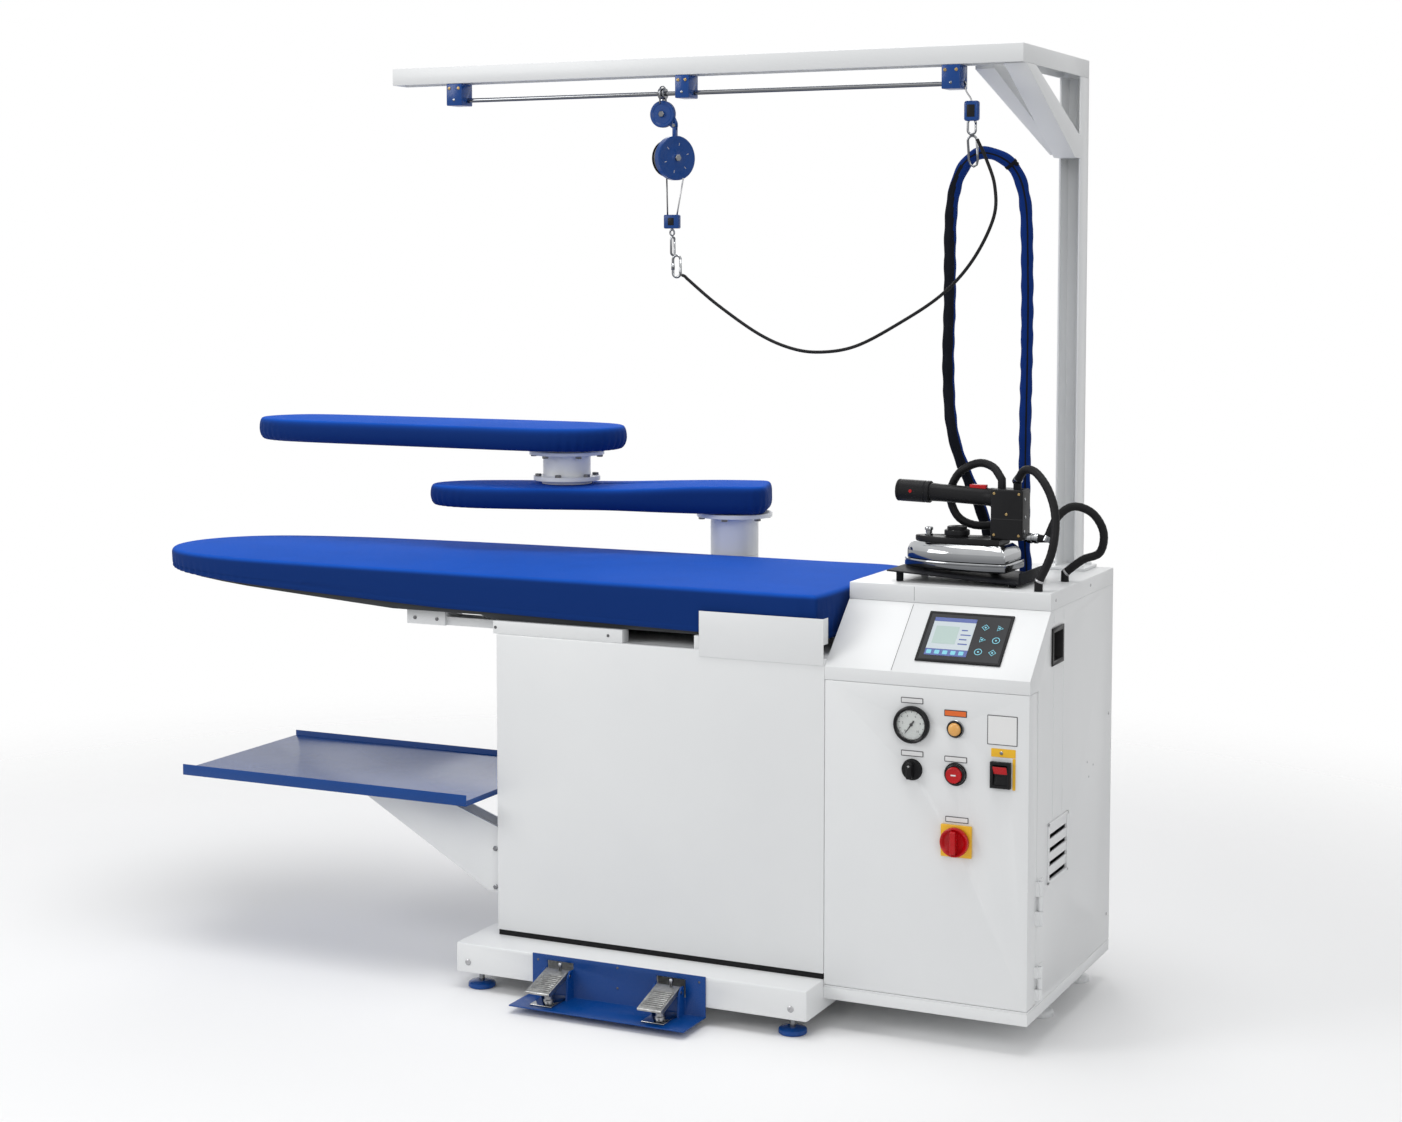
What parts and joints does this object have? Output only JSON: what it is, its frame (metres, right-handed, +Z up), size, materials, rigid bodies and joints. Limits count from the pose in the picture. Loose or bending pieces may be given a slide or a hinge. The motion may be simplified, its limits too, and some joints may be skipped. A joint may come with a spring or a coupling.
{
  "type": "industrial steam pressing machine",
  "caption": "Free-standing pressing table with padded top and swing arms, a boiler cabinet with hinged door, pedals, a steam iron, and an overhead rail with hose hanger and balancer.",
  "frame": {"origin": "middle of the footprint, at floor level, measured without the hoses and the cable", "axes": "+X along the table towards the boiler cabinet, to the right as seen from the operator; +Y from the operator to the rear; +Z up"},
  "size_m": [2.3083, 0.9344, 2.03],
  "materials": {
    "white_paint": "satin powder coat",
    "blue_paint": "gloss paint",
    "blue_cloth": "woven cover",
    "steel": "brushed",
    "chrome": "polished",
    "polished_aluminium": "polished",
    "black_plastic": "matte",
    "black_rubber": "matte",
    "red_plastic": "gloss",
    "amber_plastic": "gloss",
    "yellow_plastic": "satin"
  },
  "bodies": {
    "machine": {"balancer_cable": "black_rubber", "base_frame": "white_paint", "boiler_tank": "steel", "cabinet_lid": "white_paint", "cabinet_shell": "white_paint", "console_panel": "white_paint", "display_bezel": "black_plastic", "foot_front_left": "blue_paint", "foot_front_right": "blue_paint", "foot_rear_left": "blue_paint", "foot_rear_right": "blue_paint", "gantry_beam": "white_paint", "gantry_column": "white_paint", "guard_plate": "white_paint", "hose_hanger": "blue_paint", "iron_tray": "black_plastic", "main_post": "white_paint", "pedal_plate": "blue_paint", "pedestal_body": "white_paint", "pedestal_front_panel": "white_paint", "rod_bracket_left": "blue_paint", "rod_bracket_middle": "blue_paint", "rod_bracket_right": "blue_paint", "shelf_bracket": "white_paint", "shelf_tray": "blue_paint", "side_handle": "black_plastic", "slide_rod": "chrome", "steam_hose": "blue_cloth", "table_buck": "steel", "table_cover": "blue_cloth", "table_subframe": "white_paint"},
    "lower_arm": {"lower_arm_frame": "white_paint", "lower_arm_cover": "blue_cloth"},
    "upper_arm": {"upper_post": "white_paint", "upper_arm_frame": "white_paint", "upper_arm_cover": "blue_cloth"},
    "door": {"cabinet_door": "white_paint", "gauge_case": "black_plastic", "rocker_frame": "black_plastic", "main_switch_plate": "yellow_plastic"},
    "gauge_needle": {"gauge_needle": "black_plastic"},
    "amber_button": {"amber_button": "amber_plastic"},
    "red_button": {"red_button": "red_plastic"},
    "selector_knob": {"selector_knob": "black_plastic"},
    "rocker_switch": {"rocker_switch": "red_plastic"},
    "main_switch_knob": {"main_switch_knob": "red_plastic"},
    "trolley": {"trolley_block": "blue_paint"},
    "balancer": {"balancer_case": "blue_paint", "snap_hook": "steel"},
    "balancer_drum": {"balancer_drum": "black_plastic"},
    "iron": {"iron_sole": "polished_aluminium", "iron_shell": "polished_aluminium", "iron_handle": "black_plastic", "iron_hose_left": "black_rubber", "iron_hose_front": "black_rubber", "iron_hose_rear": "black_rubber"},
    "iron_dial": {"iron_dial": "black_plastic"},
    "iron_trigger": {"iron_trigger": "red_plastic"},
    "left_pedal": {"left_pedal": "steel"},
    "right_pedal": {"right_pedal": "steel"}
  },
  "joints": [
    {"name": "lower_arm_swing", "type": "hinge", "parent": "machine", "child": "lower_arm", "pos_m": [0.18556, 0.35415, 0.99], "axis": [0, 0, 1], "range_deg": [-40, 60]},
    {"name": "upper_arm_swing", "type": "hinge", "parent": "lower_arm", "child": "upper_arm", "pos_m": [-0.19962, 0.229, 1.064], "axis": [0, 0, 1], "range_deg": [-50, 60]},
    {"name": "door_hinge", "type": "hinge", "parent": "machine", "child": "door", "pos_m": [1.12306, -0.21085, 0.0925], "axis": [0, 0, 1], "range_deg": [0, 100]},
    {"name": "gauge_reading", "type": "hinge", "parent": "door", "child": "gauge_needle", "pos_m": [0.86856, -0.27085, 0.656], "axis": [0, 1, 0], "range_deg": [-9, 261]},
    {"name": "amber_press", "type": "slide", "parent": "door", "child": "amber_button", "axis": [0, 1, 0], "range_m": [0, 0.004], "stiffness_N_per_m": 1000},
    {"name": "red_press", "type": "slide", "parent": "door", "child": "red_button", "axis": [0, 1, 0], "range_m": [0, 0.004], "stiffness_N_per_m": 1000},
    {"name": "selector_turn", "type": "hinge", "parent": "door", "child": "selector_knob", "pos_m": [0.86856, -0.27085, 0.563], "axis": [0, 1, 0], "range_deg": [-45, 45]},
    {"name": "rocker_tilt", "type": "hinge", "parent": "door", "child": "rocker_switch", "pos_m": [1.05756, -0.27585, 0.5695], "axis": [1, 0, 0], "range_deg": [-18, 0]},
    {"name": "main_switch_turn", "type": "hinge", "parent": "door", "child": "main_switch_knob", "pos_m": [0.96506, -0.27085, 0.426], "axis": [0, 1, 0], "range_deg": [0, 90]},
    {"name": "trolley_travel", "type": "slide", "parent": "machine", "child": "trolley", "axis": [1, 0, 0], "range_m": [-0.455, 0]},
    {"name": "balancer_swing", "type": "hinge", "parent": "trolley", "child": "balancer", "pos_m": [0.25556, -0.11085, 1.886], "axis": [0, 1, 0], "range_deg": [0, 25]},
    {"name": "drum_turn", "type": "hinge", "parent": "balancer", "child": "balancer_drum", "pos_m": [0.25556, -0.11085, 1.816], "axis": [0.866, -0.5, 0], "continuous": true},
    {"name": "iron_lift", "type": "slide", "parent": "machine", "child": "iron", "axis": [0, 0, 1], "range_m": [0, 0.045]},
    {"name": "dial_turn", "type": "hinge", "parent": "iron", "child": "iron_dial", "pos_m": [0.86856, -0.00585, 1.0123], "axis": [0, 0, 1], "range_deg": [-135, 135]},
    {"name": "trigger_press", "type": "slide", "parent": "iron", "child": "iron_trigger", "axis": [0, 0, -1], "range_m": [0, 0.003], "stiffness_N_per_m": 800},
    {"name": "left_pedal_press", "type": "hinge", "parent": "machine", "child": "left_pedal", "pos_m": [0.10306, -0.37915, 0.068], "axis": [1, 0, 0], "range_deg": [0, 12], "stiffness_Nm_per_rad": 8, "springref_deg": -5.73},
    {"name": "right_pedal_press", "type": "hinge", "parent": "machine", "child": "right_pedal", "pos_m": [0.36756, -0.37915, 0.068], "axis": [1, 0, 0], "range_deg": [0, 12], "stiffness_Nm_per_rad": 8, "springref_deg": -5.73}
  ]
}
